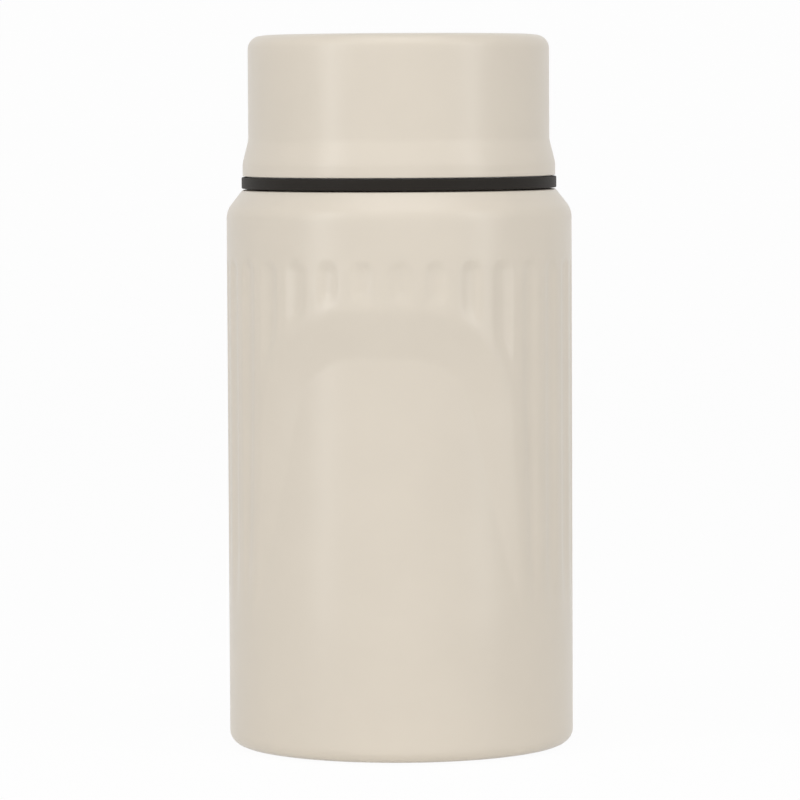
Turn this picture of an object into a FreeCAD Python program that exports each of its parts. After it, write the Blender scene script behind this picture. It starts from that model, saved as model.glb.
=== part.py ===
import FreeCAD, Part
import math
import os

# Insulated food jar: double-walled steel body with a screw stopper and a screw-on cup lid.
# Millimetres. Z is up, the origin is the centre of the face that the jar stands on, and -Y is the front.

# Body, outside
BODY_DIA = 98.0
BODY_HEIGHT = 158.2
SHELL_WALL = 0.6
FOOT_ROUND = 3.2
SHOULDER_DROP = 6.3
SHOULDER_ANGLE = 33.0
SHOULDER_ROUND = 3.5
SHOULDER_EDGE_ROUND = 0.9
NECK_DIA = 76.0
NECK_HEIGHT = 17.0
NECK_ROOT_ROUND = 1.4

# Pressed relief of the body: flutes all round and an arched hollow front and back
FLUTE_COUNT = 30
FLUTE_DEPTH = 0.75
FLUTE_WIDTH = 6.2
FLUTE_TOP = 139.6
FLUTE_FADE_TOP = 58.0
FLUTE_FADE_FOOT = 44.0
FLUTE_COVER = 1.25
ARCH_TOP = 126.0
ARCH_FOOT = 36.0
ARCH_HALF_WIDTH = 44.0
ARCH_LEAN = 4.0
ARCH_ROUND = 30.0
ARCH_DEPTH = 2.3
ARCH_BEVEL = 13.5
ARCH_SOFTNESS = 0.35
ARCH_FLOOR_CURVE = 1.5
ARCH_MARGIN = 6.0
ARCH_COLUMNS = 35
ARCH_ROWS = 41
ARCH_SIDES = (270.0, 90.0)

# Body, inside
LINER_MARGIN = 6.0
LINER_WALL = 0.5
LINER_FLOOR = 8.6
LINER_CORNER = 12.0
LINER_SHOULDER = 12.0
LINER_BEND = 6.0
LINER_TOP_GAP = 2.2
LIP_WIDTH = 2.0
LIP_ROUND = 0.9
LIP_ROLL = 0.7
FOIL_WALL = 0.2
FOIL_GAP = 0.05
FOIL_MARGIN = 6.0
GETTER_DIA = 10.0
GETTER_HEIGHT = 2.4
GETTER_ROUND = 0.6

# Base
PAD_PROUD = 0.4
PAD_GAP = 0.8
BASE_RECESS = 2.0
FOOT_WIDTH = 7.5
BASE_WALL = 0.6
BASE_RIM = 2.0
EXHAUST_DIA = 3.0
SEAL_HEAD_DIA = 6.8
SEAL_HEAD_HEIGHT = 1.0
SEAL_HEAD_ROUND = 0.5

# Stopper
FLANGE_PROUD = 0.3
FLANGE_HEIGHT = 3.2
FLANGE_GAP = 0.4
FLANGE_ROUND = 0.6
SKIRT_WALL = 1.2
THREAD_GAP = 1.3
LIP_GAP = 0.5
GRIP_STEP = 0.3
GRIP_DROP = 1.8
GRIP_COUNT = 12
GRIP_DEPTH = 0.7
GRIP_WIDTH = 9.0
DECK_WALL = 2.2
DECK_ROUND = 1.4
PLUG_DEPTH = 18.0
PLUG_WALL = 1.2
PLUG_ROUND = 3.0
MOUTH_GAP = 0.6
GASKET_HEIGHT = 2.0
GASKET_GAP = 0.2
FOAM_GAP = 0.2

# Pressure vent in the middle of the stopper
WELL_DIA = 19.2
WELL_DEPTH = 7.4
WELL_WALL = 1.3
BUTTON_DIA = 15.8
BUTTON_FLANGE_DIA = 18.4
BUTTON_FLANGE_HEIGHT = 2.2
BUTTON_PROUD = 1.8
BUTTON_WALL = 1.4
BUTTON_CROWN = 0.8
COLLAR_HEIGHT = 2.0
COLLAR_DIA = 16.6
COLLAR_PROUD = 0.6
STEM_DIA = 4.0
STEM_GAP = 0.3
STEM_HEAD_DIA = 9.0
STEM_HEAD_HEIGHT = 1.0
GUIDE_WALL = 1.5
SEAL_DIA = 12.0
SEAL_HEIGHT = 1.6
SPRING_DIA = 11.2
SPRING_WIRE = 0.8
SPRING_TURNS = 4
SPRING_ARCS = 2
SEAT_GAP = 0.3

# Cup lid
CUP_CLEARANCE = 0.3
CUP_FLARE = 1.65
CUP_HEIGHT = 39.9
CUP_GAP = 0.3
CUP_WALL = 0.6
CUP_SKIRT_HEIGHT = 3.6
CUP_FLARE_HEIGHT = 6.6
CUP_FLARE_ROUND = 7.0
CUP_TOP_ROUND = 4.0
CUP_EDGE_ROUND = 0.25
CUP_LINER_WALL = 1.2
CUP_LINER_GAP = 0.15
CUP_FOAM_HEIGHT = 3.0
CUP_FOAM_MARGIN = 5.0
CUP_GASKET_WIDTH = 0.8
CUP_GASKET_HEIGHT = 1.2
RUN_GAP = 0.1

# Small edges, and how far a cut runs past the face that it opens
EDGE_ROUND = 0.3
OVERCUT = 1.0

# Levels and radii that follow
BODY_R = BODY_DIA / 2
FOOT_Z = PAD_PROUD
NECK_R = NECK_DIA / 2
MOUTH_R = NECK_R - LIP_WIDTH
LINER_R = BODY_R - LINER_MARGIN
BASE_OPENING_R = BODY_R - FOOT_WIDTH
PAD_R = BASE_OPENING_R - 2 * BASE_WALL - PAD_GAP
LIP_Z = BODY_HEIGHT + NECK_HEIGHT
SHOULDER_Z = BODY_HEIGHT - SHOULDER_DROP
RELIEF_FOOT = ARCH_FOOT - 2 * ARCH_MARGIN
RELIEF_TOP = FLUTE_TOP + 2 * SHELL_WALL + 1.0
BASE_Z = FOOT_Z + BASE_RECESS
FLANGE_Z = BODY_HEIGHT + FLANGE_GAP
FLANGE_TOP = FLANGE_Z + FLANGE_HEIGHT
SKIRT_IN = NECK_R + THREAD_GAP
SKIRT_OUT = SKIRT_IN + SKIRT_WALL
SEAT_R = NECK_R + LIP_GAP
DECK_UNDER = LIP_Z + GASKET_HEIGHT
DECK_TOP = DECK_UNDER + DECK_WALL
GRIP_R = SKIRT_OUT - GRIP_STEP
GRIP_Z = LIP_Z - GRIP_DROP
PLUG_R = MOUTH_R - MOUTH_GAP
PLUG_Z = LIP_Z + GASKET_HEIGHT - PLUG_DEPTH
WELL_Z = DECK_TOP - WELL_DEPTH
STEM_R = STEM_DIA / 2
STEM_HOLE = STEM_R + STEM_GAP
GUIDE_R = STEM_HOLE + GUIDE_WALL
COLLAR_Z = DECK_TOP - COLLAR_HEIGHT
CUP_Z = FLANGE_TOP + CUP_GAP
CUP_TOP = CUP_Z + CUP_HEIGHT
CUP_R = SKIRT_OUT + CUP_CLEARANCE + CUP_LINER_WALL + CUP_LINER_GAP + CUP_WALL
CUP_SKIRT_R = CUP_R + CUP_FLARE
FLANGE_R = CUP_SKIRT_R + FLANGE_PROUD


def unit(a, b):
    """Direction from point a to point b."""
    return (b - a).normalize()


def rounded_wire(corners):
    """Closed outline in the XZ plane from (radius, height, rounding) corners, with tangent arcs."""
    count = len(corners)
    points = [FreeCAD.Vector(c[0], 0, c[1]) for c in corners]
    starts, ends, edges = [], [], []
    for i in range(count):
        here, rounding = points[i], corners[i][2]
        back, ahead = unit(here, points[i - 1]), unit(here, points[(i + 1) % count])
        half = math.acos(max(-1.0, min(1.0, back.dot(ahead)))) / 2
        reach = rounding / math.tan(half) if rounding else 0.0
        starts.append(here + back * reach)
        ends.append(here + ahead * reach)
        if rounding:
            middle = here + (back + ahead).normalize() * (rounding / math.sin(half) - rounding)
            edges.append(Part.Arc(starts[i], middle, ends[i]).toShape())
        after = points[(i + 1) % count]
        next_reach = 0.0
        if corners[(i + 1) % count][2]:
            back_next = unit(after, here)
            ahead_next = unit(after, points[(i + 2) % count])
            half_next = math.acos(max(-1.0, min(1.0, back_next.dot(ahead_next)))) / 2
            next_reach = corners[(i + 1) % count][2] / math.tan(half_next)
        stop = after + unit(after, here) * next_reach
        if (stop - ends[i]).Length > 1e-6:
            edges.append(Part.LineSegment(ends[i], stop).toShape())
    return Part.Wire(Part.__sortEdges__(edges))


def turned(corners, middle=0.0, sweep=360.0):
    """Solid of revolution about Z of a rounded outline, or a sector of it about a middle direction."""
    origin, axis = FreeCAD.Vector(0, 0, 0), FreeCAD.Vector(0, 0, 1)
    face = Part.Face(rounded_wire(corners))
    face.rotate(origin, axis, middle - sweep / 2)
    return face.revolve(origin, axis, sweep)


def disc(radius, bottom, height):
    """Plain cylinder on the axis, used for bores and cuts."""
    return Part.makeCylinder(radius, height, FreeCAD.Vector(0, 0, bottom))


def ring(inner, outer, bottom, height):
    """Square-edged ring."""
    top = bottom + height
    return turned([(inner, bottom, 0), (outer, bottom, 0), (outer, top, 0), (inner, top, 0)])


def body_form(inset):
    """The body's plain turned form, moved inwards by a wall thickness."""
    radius = BODY_R - inset
    bottom = FOOT_Z + inset
    top = BODY_HEIGHT - inset
    slope = math.tan(math.radians(SHOULDER_ANGLE))
    line_shift = inset * (1 / math.cos(math.radians(SHOULDER_ANGLE)) - 1) / slope
    shoulder_z = SHOULDER_Z - line_shift
    shoulder_r = radius - (top - shoulder_z) * slope
    return turned([
        (0, bottom, 0),
        (radius, bottom, FOOT_ROUND - inset),
        (radius, shoulder_z, SHOULDER_ROUND - inset),
        (shoulder_r, top, SHOULDER_EDGE_ROUND - inset),
        (NECK_R - inset, top, NECK_ROOT_ROUND + inset),
        (NECK_R - inset, LIP_Z - LIP_ROUND, 0),
        (0, LIP_Z - LIP_ROUND, 0),
    ])


def arch_outline(x, z):
    """Distance outside the arch's outline, negative inside, on the unrolled body."""
    half = ARCH_HALF_WIDTH - math.tan(math.radians(ARCH_LEAN)) * (z - ARCH_FOOT)
    across = abs(x) - (half - ARCH_ROUND)
    up = z - (ARCH_TOP - ARCH_ROUND)
    return math.hypot(max(across, 0), max(up, 0)) + min(max(across, up), 0) - ARCH_ROUND


def arch_depth(x, z):
    """Depth of the arched hollow: a bevel that runs down to a floor, which rises out again at the foot."""
    bevel = -arch_outline(x, z) * ARCH_DEPTH / ARCH_BEVEL
    share = (z - ARCH_FOOT) / (ARCH_TOP - ARCH_BEVEL - ARCH_FOOT)
    if share < 0:
        floor = ARCH_FLOOR_CURVE * ARCH_DEPTH * share
    else:
        floor = ARCH_DEPTH * (1 - (1 - min(share, 1)) ** ARCH_FLOOR_CURVE)
    blend = max(ARCH_SOFTNESS - abs(bevel - floor), 0) / ARCH_SOFTNESS
    return min(bevel, floor) - blend * blend * ARCH_SOFTNESS / 4


def arch_skin(inset, direction, outer):
    """Curved face of the arch tool: the hollow's own surface, or the plain cylinder outside it."""
    wide = ARCH_HALF_WIDTH + ARCH_MARGIN
    high = ARCH_TOP + ARCH_MARGIN
    grid = []
    for i in range(ARCH_COLUMNS):
        x = wide * (2 * i / (ARCH_COLUMNS - 1) - 1)
        angle = math.radians(direction) + x / BODY_R
        line = []
        for k in range(ARCH_ROWS):
            z = RELIEF_FOOT + (high - RELIEF_FOOT) * k / (ARCH_ROWS - 1)
            radius = BODY_R + ARCH_MARGIN if outer else BODY_R - inset - arch_depth(x, z)
            line.append(FreeCAD.Vector(radius * math.cos(angle), radius * math.sin(angle), z))
        grid.append(line)
    surface = Part.BSplineSurface()
    surface.interpolate(grid)
    return surface


def arch_tool(inset, direction):
    """Closed body that is cut away to leave one arched hollow."""
    skin = arch_skin(inset, direction, False)
    cover = arch_skin(inset, direction, True)
    faces = [skin.toShape(), cover.toShape()]
    for pick in ("u0", "u1", "v0", "v1"):
        edges = []
        for surface in (skin, cover):
            u0, u1, v0, v1 = surface.bounds()
            if pick[0] == "u":
                curve = surface.uIso(u0 if pick == "u0" else u1)
            else:
                curve = surface.vIso(v0 if pick == "v0" else v1)
            edges.append(curve.toShape())
        faces.append(Part.makeRuledSurface(edges[0], edges[1]))
    shell = Part.Shell(faces)
    shell.sewShape()
    tool = Part.Solid(shell)
    if tool.Volume < 0:
        tool.reverse()
    return tool


def flute_stop(angle):
    """Height where a flute that runs into an arched hollow ends, inside the hollow, or None for a long flute."""
    for direction in ARCH_SIDES:
        x = math.radians(abs((angle - direction + 180) % 360 - 180)) * BODY_R
        if x < ARCH_HALF_WIDTH and arch_outline(x, ARCH_TOP - ARCH_ROUND) < 0:
            level = ARCH_TOP
            while arch_depth(x, level) < FLUTE_DEPTH * FLUTE_COVER and level > ARCH_FOOT:
                level -= 0.5
            return level
    return None


def flute_tool(inset, angle):
    """Round-ended cutter for one flute. A long flute's lower end tapers, so that it fades out of the skin."""
    radius = (FLUTE_WIDTH ** 2 / 4 + FLUTE_DEPTH ** 2) / (2 * FLUTE_DEPTH)
    cutter_r = radius + inset
    top = FLUTE_TOP - FLUTE_WIDTH / 2
    stop = flute_stop(angle)
    if stop is None:
        slope = FLUTE_DEPTH / (FLUTE_FADE_TOP - FLUTE_FADE_FOOT)
        low = FLUTE_FADE_FOOT - FLUTE_FADE_TOP + FLUTE_FADE_FOOT
        lower = [(cutter_r, FLUTE_FADE_TOP), (cutter_r - slope * (FLUTE_FADE_TOP - low), low), (0, low)]
    else:
        lower = [(cutter_r, stop), (0, stop)]
    points = [FreeCAD.Vector(r, 0, z) for r, z in [(0, top + cutter_r), (cutter_r, top)] + lower]
    middle = FreeCAD.Vector(cutter_r * math.sqrt(0.5), 0, top + cutter_r * math.sqrt(0.5))
    edges = [Part.Arc(points[0], middle, points[1]).toShape()]
    for i in range(1, len(points)):
        edges.append(Part.LineSegment(points[i], points[(i + 1) % len(points)]).toShape())
    origin, axis = FreeCAD.Vector(0, 0, 0), FreeCAD.Vector(0, 0, 1)
    tool = Part.Face(Part.Wire(edges)).revolve(origin, axis, 360)
    tool.translate(FreeCAD.Vector(BODY_R + radius - FLUTE_DEPTH, 0, 0))
    tool.rotate(origin, axis, angle)
    return tool


def pressed_sector(inset, middle, sweep, overcut):
    """Sector of the body's pressed band with its one flute and its share of an arched hollow."""
    low, high = RELIEF_FOOT - overcut, RELIEF_TOP + overcut
    radius = BODY_R - inset
    form = turned([(0, low, 0), (radius, low, 0), (radius, high, 0), (0, high, 0)], middle, sweep)
    form = form.cut(flute_tool(inset, middle))
    for direction in ARCH_SIDES:
        off = abs((middle - direction + 180) % 360 - 180)
        if math.radians(off - sweep / 2) * BODY_R < ARCH_HALF_WIDTH:
            form = form.cut(arch_tool(inset, direction))
    return form


def outer_shell():
    """Pressed steel skin in one wall: foot, flutes, arched hollows, shoulder and neck."""
    pitch = 360 / FLUTE_COUNT
    neck_bore = disc(NECK_R - SHELL_WALL, BODY_HEIGHT - 2 * SHELL_WALL, NECK_HEIGHT)
    base_bore = disc(BASE_OPENING_R, 0, FOOT_Z + 2 * SHELL_WALL)
    plain = body_form(0).cut([body_form(SHELL_WALL), neck_bore, base_bore])
    bands = [plain.common(disc(BODY_DIA, 0, RELIEF_FOOT)), plain.common(disc(BODY_DIA, RELIEF_TOP, LIP_Z))]
    for i in range(FLUTE_COUNT):
        middle = ARCH_SIDES[1] + pitch * (i + 0.5)
        cavity = pressed_sector(SHELL_WALL, middle, pitch + 2, OVERCUT)
        bands.append(pressed_sector(0, middle, pitch, 0).cut(cavity))
    return bands[0].fuse(bands[1:])


def liner_form(inset, lip):
    """Turned form of the inner vessel, moved outwards from its inside face by inset."""
    bore = MOUTH_R + inset
    radius = LINER_R + inset
    bottom = LINER_FLOOR - inset
    top = BODY_HEIGHT - LINER_TOP_GAP
    return turned([
        (0, bottom, 0),
        (radius, bottom, LINER_CORNER + inset),
        (radius, top - LINER_SHOULDER, LINER_BEND + inset),
        (bore, top, LINER_BEND - inset),
        (bore, lip, 0),
        (0, lip, 0),
    ])


def inner_liner():
    """Steel vessel with a rolled lip that closes over the outer neck."""
    vessel = liner_form(LINER_WALL, LIP_Z - LIP_ROUND)
    lip = ring(MOUTH_R, NECK_R, LIP_Z - LIP_ROUND, LIP_ROUND)
    rolled = [edge for edge in lip.Edges if edge.BoundBox.ZMin > LIP_Z - RUN_GAP]
    lip = lip.makeFillet(LIP_ROUND * LIP_ROLL, rolled)
    return vessel.fuse(lip).cut(liner_form(0, LIP_Z + OVERCUT)).removeSplitter()


def foil_wrap():
    """Reflective foil round the straight part of the vessel."""
    inner = LINER_R + LINER_WALL + FOIL_GAP
    bottom = LINER_FLOOR + LINER_CORNER + FOIL_MARGIN
    top = BODY_HEIGHT - LINER_SHOULDER - 2 * FOIL_MARGIN
    return ring(inner, inner + FOIL_WALL, bottom, top - bottom)


def getter():
    """Small gas getter capsule on the underside of the vessel."""
    top = LINER_FLOOR - LINER_WALL
    return turned([
        (0, top - GETTER_HEIGHT, 0),
        (GETTER_DIA / 2, top - GETTER_HEIGHT, GETTER_ROUND),
        (GETTER_DIA / 2, top, 0),
        (0, top, 0),
    ])


def base_plate():
    """Recessed steel plate that closes the bottom of the outer shell."""
    rim_z = FOOT_Z + SHELL_WALL
    opening = BASE_OPENING_R
    step = opening - BASE_WALL
    return turned([
        (EXHAUST_DIA / 2, BASE_Z, 0),
        (step - BASE_WALL, BASE_Z, 0),
        (step - BASE_WALL, rim_z, 0),
        (opening + BASE_RIM, rim_z, 0),
        (opening + BASE_RIM, rim_z + BASE_WALL, 0),
        (step, rim_z + BASE_WALL, 0),
        (step, BASE_Z + BASE_WALL, 0),
        (EXHAUST_DIA / 2, BASE_Z + BASE_WALL, 0),
    ])


def vacuum_seal():
    """Fused bead that closes the exhaust hole."""
    return turned([
        (0, BASE_Z - SEAL_HEAD_HEIGHT, 0),
        (SEAL_HEAD_DIA / 2, BASE_Z - SEAL_HEAD_HEIGHT, SEAL_HEAD_ROUND),
        (SEAL_HEAD_DIA / 2, BASE_Z, 0),
        (EXHAUST_DIA / 2, BASE_Z, 0),
        (EXHAUST_DIA / 2, BASE_Z + BASE_WALL, 0),
        (0, BASE_Z + BASE_WALL, 0),
    ])


def base_pad():
    """Silicone pad that the jar stands on, with a pocket for the bead."""
    pocket_r = SEAL_HEAD_DIA / 2 + SEAT_GAP
    pocket_z = BASE_Z - SEAL_HEAD_HEIGHT - SEAT_GAP
    return turned([
        (0, 0, 0),
        (PAD_R, 0, PAD_PROUD),
        (PAD_R, BASE_Z, 0),
        (pocket_r, BASE_Z, 0),
        (pocket_r, pocket_z, 0),
        (0, pocket_z, 0),
    ])


def stopper_body():
    """Moulded stopper: flange that shows as the dark ring, threaded skirt, grip, deck and vent well."""
    well_out = WELL_DIA / 2 + WELL_WALL
    body = turned([
        (STEM_HOLE, WELL_Z - WELL_WALL, 0),
        (well_out, WELL_Z - WELL_WALL, 0),
        (well_out, DECK_UNDER, 0),
        (SEAT_R, DECK_UNDER, 0),
        (SEAT_R, GRIP_Z, 0),
        (SKIRT_IN, GRIP_Z - SKIRT_IN + SEAT_R, 0),
        (SKIRT_IN, FLANGE_Z, 0),
        (FLANGE_R, FLANGE_Z, FLANGE_ROUND),
        (FLANGE_R, FLANGE_TOP, FLANGE_ROUND),
        (SKIRT_OUT, FLANGE_TOP, 0),
        (SKIRT_OUT, GRIP_Z - GRIP_STEP, 0),
        (GRIP_R, GRIP_Z, 0),
        (GRIP_R, DECK_TOP, DECK_ROUND),
        (WELL_DIA / 2, DECK_TOP, 0),
        (WELL_DIA / 2, WELL_Z, 0),
        (STEM_HOLE, WELL_Z, 0),
    ])
    cutter_r = (GRIP_WIDTH ** 2 / 4 + GRIP_DEPTH ** 2) / (2 * GRIP_DEPTH)
    cutters = []
    for i in range(GRIP_COUNT):
        angle = 2 * math.pi * i / GRIP_COUNT
        away = GRIP_R + cutter_r - GRIP_DEPTH
        foot = FreeCAD.Vector(away * math.cos(angle), away * math.sin(angle), GRIP_Z + GRIP_STEP)
        cutters.append(Part.makeCylinder(cutter_r, DECK_TOP, foot))
    return body.cut(cutters)


def stopper_plug():
    """Lower half of the stopper: a cup with the stem's guide tube, closed by the deck above."""
    floor = PLUG_Z + PLUG_WALL
    inside = PLUG_R - PLUG_WALL
    return turned([
        (STEM_HOLE, PLUG_Z, 0),
        (PLUG_R, PLUG_Z, PLUG_ROUND),
        (PLUG_R, DECK_UNDER, 0),
        (inside, DECK_UNDER, 0),
        (inside, floor, PLUG_ROUND - PLUG_WALL),
        (GUIDE_R, floor, 0),
        (GUIDE_R, WELL_Z - WELL_WALL, 0),
        (STEM_HOLE, WELL_Z - WELL_WALL, 0),
    ])


def stopper_foam():
    """Insulating ring sealed inside the stopper."""
    inner = WELL_DIA / 2 + WELL_WALL + FOAM_GAP
    outer = PLUG_R - PLUG_WALL - FOAM_GAP
    bottom = PLUG_Z + PLUG_WALL
    return turned([
        (inner, bottom, 0),
        (outer, bottom, PLUG_ROUND),
        (outer, DECK_UNDER, 0),
        (inner, DECK_UNDER, 0),
    ])


def stopper_gasket():
    """Silicone ring between the stopper's deck and the jar's lip."""
    inner = PLUG_R + GASKET_GAP
    outer = SEAT_R - GASKET_GAP
    return ring(inner, outer, LIP_Z, GASKET_HEIGHT)


def vent_button():
    """Round push button with a retaining flange and a socket for the stem."""
    top = DECK_TOP + BUTTON_PROUD
    under = top - BUTTON_WALL
    flange_top = COLLAR_Z
    flange_bottom = flange_top - BUTTON_FLANGE_HEIGHT
    barrel_in = BUTTON_DIA / 2 - BUTTON_WALL
    socket = STEM_R + BUTTON_WALL
    return turned([
        (0, top, 0),
        (BUTTON_DIA / 2, top - BUTTON_CROWN, BUTTON_CROWN),
        (BUTTON_DIA / 2, flange_top, 0),
        (BUTTON_FLANGE_DIA / 2, flange_top, 0),
        (BUTTON_FLANGE_DIA / 2, flange_bottom, EDGE_ROUND),
        (barrel_in, flange_bottom, 0),
        (barrel_in, under, 0),
        (socket, under, 0),
        (socket, flange_bottom, 0),
        (STEM_R, flange_bottom, 0),
        (STEM_R, under, 0),
        (0, under, 0),
    ])


def vent_collar():
    """Ring pressed into the well's mouth, which keeps the button in."""
    return turned([
        (COLLAR_DIA / 2, COLLAR_Z, 0),
        (WELL_DIA / 2, COLLAR_Z, 0),
        (WELL_DIA / 2, DECK_TOP, 0),
        (WELL_DIA / 2 + WELL_WALL, DECK_TOP, 0),
        (WELL_DIA / 2 + WELL_WALL, DECK_TOP + COLLAR_PROUD, EDGE_ROUND),
        (COLLAR_DIA / 2, DECK_TOP + COLLAR_PROUD, 0),
    ])


def vent_stem():
    """Rod from the button to the seal, with a head that carries the seal."""
    head_top = PLUG_Z - SEAL_HEIGHT
    under = DECK_TOP + BUTTON_PROUD - BUTTON_WALL
    return turned([
        (0, head_top - STEM_HEAD_HEIGHT, 0),
        (STEM_HEAD_DIA / 2, head_top - STEM_HEAD_HEIGHT, EDGE_ROUND),
        (STEM_HEAD_DIA / 2, head_top, 0),
        (STEM_R, head_top, 0),
        (STEM_R, under, 0),
        (0, under, 0),
    ])


def vent_seal():
    """Silicone disc that the stem pulls up against the underside of the plug."""
    return ring(STEM_R, SEAL_DIA / 2, PLUG_Z - SEAL_HEIGHT, SEAL_HEIGHT)


def biarc(start, start_way, end, end_way):
    """Two tangent arcs from start to end that leave and arrive along the given unit directions."""
    chord = end - start
    both = start_way + end_way
    square = 2 * (1 - start_way.dot(end_way))
    along = chord.dot(both)
    reach = (-along + math.sqrt(along * along + square * chord.dot(chord))) / square
    meet = (start + start_way * reach + end - end_way * reach) * 0.5
    edges = []
    for first, way, last in ((start, start_way, meet), (end, end_way * -1, meet)):
        span = last - first
        across = span - way * span.dot(way)
        radius = span.dot(span) / (2 * across.Length)
        middle = first + across.normalize() * radius
        mid_point = middle + ((first - middle) + (last - middle)).normalize() * radius
        edges.append(Part.Arc(first, mid_point, last).toShape())
    return edges


def vent_spring():
    """Coil spring between the well's floor and the inside of the button, wound from arcs."""
    wire_r = SPRING_WIRE / 2
    bottom = WELL_Z + wire_r
    top = DECK_TOP + BUTTON_PROUD - BUTTON_WALL - wire_r
    coil_r = SPRING_DIA / 2 - wire_r
    climb = (top - bottom) / (2 * math.pi * SPRING_TURNS)
    points, ways = [], []
    for i in range(SPRING_TURNS * SPRING_ARCS + 1):
        turn = 2 * math.pi * i / SPRING_ARCS
        points.append(FreeCAD.Vector(coil_r * math.cos(turn), coil_r * math.sin(turn), bottom + climb * turn))
        ways.append(FreeCAD.Vector(-coil_r * math.sin(turn), coil_r * math.cos(turn), climb).normalize())
    edges = []
    for i in range(len(points) - 1):
        edges += biarc(points[i], ways[i], points[i + 1], ways[i + 1])
    section = Part.Wire(Part.Circle(points[0], ways[0], wire_r).toShape())
    return Part.Wire(Part.__sortEdges__(edges)).makePipeShell([section], True, False)


def cup_form(inset):
    """Turned form of the cup lid, moved inwards by a wall thickness."""
    radius = CUP_R - inset
    skirt = CUP_SKIRT_R - inset
    flare_z = CUP_Z + CUP_SKIRT_HEIGHT
    bottom = CUP_Z if inset == 0 else CUP_Z - OVERCUT
    return turned([
        (0, bottom, 0),
        (skirt, bottom, CUP_EDGE_ROUND if inset == 0 else 0),
        (skirt, flare_z, CUP_FLARE_ROUND - inset),
        (radius, flare_z + CUP_FLARE_HEIGHT, CUP_FLARE_ROUND + inset),
        (radius, CUP_TOP - inset, CUP_TOP_ROUND - inset),
        (0, CUP_TOP - inset, 0),
    ])


def cup_shell():
    """Steel skin of the cup lid."""
    return cup_form(0).cut(cup_form(CUP_WALL))


def cup_liner():
    """Moulded drinking cup inside the skin, with a groove for its gasket."""
    gap = CUP_WALL + CUP_LINER_GAP
    roof = CUP_TOP - CUP_WALL - CUP_FOAM_HEIGHT - CUP_LINER_GAP
    outside = cup_form(gap).common(disc(BODY_R, CUP_Z, roof - CUP_Z))
    inside = cup_form(gap + CUP_LINER_WALL).common(disc(BODY_R, 0, roof - CUP_LINER_WALL))
    groove_in = CUP_SKIRT_R - gap - CUP_LINER_WALL / 2 - CUP_GASKET_WIDTH / 2 - RUN_GAP
    groove_out = groove_in + CUP_GASKET_WIDTH + 2 * RUN_GAP
    groove = ring(groove_in, groove_out, CUP_Z - CUP_GAP, CUP_GASKET_HEIGHT + RUN_GAP)
    return outside.cut([inside, groove])


def cup_foam():
    """Insulating disc between the skin's top and the drinking cup."""
    bottom = CUP_TOP - CUP_WALL - CUP_FOAM_HEIGHT - CUP_LINER_GAP
    return disc(CUP_R - CUP_FOAM_MARGIN, bottom, CUP_FOAM_HEIGHT)


def cup_gasket():
    """Silicone ring in the cup's rim, which rests on the stopper's flange."""
    inner = CUP_SKIRT_R - CUP_WALL - CUP_LINER_GAP - CUP_LINER_WALL / 2 - CUP_GASKET_WIDTH / 2
    return ring(inner, inner + CUP_GASKET_WIDTH, CUP_Z - CUP_GAP, CUP_GASKET_HEIGHT)


NODES = {
    "outer_shell": outer_shell,
    "inner_liner": inner_liner,
    "foil_wrap": foil_wrap,
    "getter": getter,
    "base_plate": base_plate,
    "vacuum_seal": vacuum_seal,
    "base_pad": base_pad,
    "stopper_body": stopper_body,
    "stopper_plug": stopper_plug,
    "stopper_foam": stopper_foam,
    "stopper_gasket": stopper_gasket,
    "vent_button": vent_button,
    "vent_collar": vent_collar,
    "vent_stem": vent_stem,
    "vent_seal": vent_seal,
    "vent_spring": vent_spring,
    "cup_shell": cup_shell,
    "cup_liner": cup_liner,
    "cup_foam": cup_foam,
    "cup_gasket": cup_gasket,
}

os.makedirs("parts", exist_ok=True)
for name, make in NODES.items():
    shape = make()
    shape.exportStep("parts/" + name + ".step")
    print(name, shape.ShapeType, len(shape.Solids), len(shape.Faces), round(shape.Volume, 1), shape.isValid())
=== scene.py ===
import math

import bmesh
import bpy
from bpy.props import FloatProperty, FloatVectorProperty, IntProperty, PointerProperty
from mathutils import Matrix, Vector


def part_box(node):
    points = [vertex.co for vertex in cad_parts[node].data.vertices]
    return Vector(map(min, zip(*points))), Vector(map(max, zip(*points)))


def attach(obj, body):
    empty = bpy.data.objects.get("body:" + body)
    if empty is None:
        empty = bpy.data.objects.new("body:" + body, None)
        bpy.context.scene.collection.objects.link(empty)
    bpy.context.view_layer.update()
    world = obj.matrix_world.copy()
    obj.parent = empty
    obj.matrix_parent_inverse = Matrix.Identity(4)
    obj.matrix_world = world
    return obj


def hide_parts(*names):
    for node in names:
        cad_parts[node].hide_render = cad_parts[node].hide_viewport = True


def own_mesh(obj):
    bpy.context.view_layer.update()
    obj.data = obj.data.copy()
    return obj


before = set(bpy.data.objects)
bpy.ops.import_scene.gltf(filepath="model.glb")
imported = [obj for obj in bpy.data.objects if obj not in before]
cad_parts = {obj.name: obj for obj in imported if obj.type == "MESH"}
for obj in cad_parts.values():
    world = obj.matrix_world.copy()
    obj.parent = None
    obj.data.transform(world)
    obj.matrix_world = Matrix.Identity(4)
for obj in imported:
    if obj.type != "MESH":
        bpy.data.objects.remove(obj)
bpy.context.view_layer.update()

bl_info = {
    "name": "Insulated Food Jar",
    "version": (1, 0, 0),
    "blender": (4, 5, 0),
    "location": "View3D > Sidebar > Food Jar",
    "description": "Dresses the insulated food jar: pressed coat, stopper, vent, cup lid and stage",
    "category": "Add Mesh",
}

TURN = 2 * math.pi
TINY = 1e-7
HOLLOW_CURVE = 1.5
FLUTE_CURVE = 1.5
RIDGE_FLANK = 2.2
LID_FLARE = 0.00165
LID_DOME_DROP = 0.0008
LID_DOME_WIDTH = 0.005
FLARE_FOOT = 0.0036
FLARE_TOP = 0.0102
WIRE_COLOUR = (0.55, 0.55, 0.54)
PAPER = 0.95
PAPER_GLOW = 0.96


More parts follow.
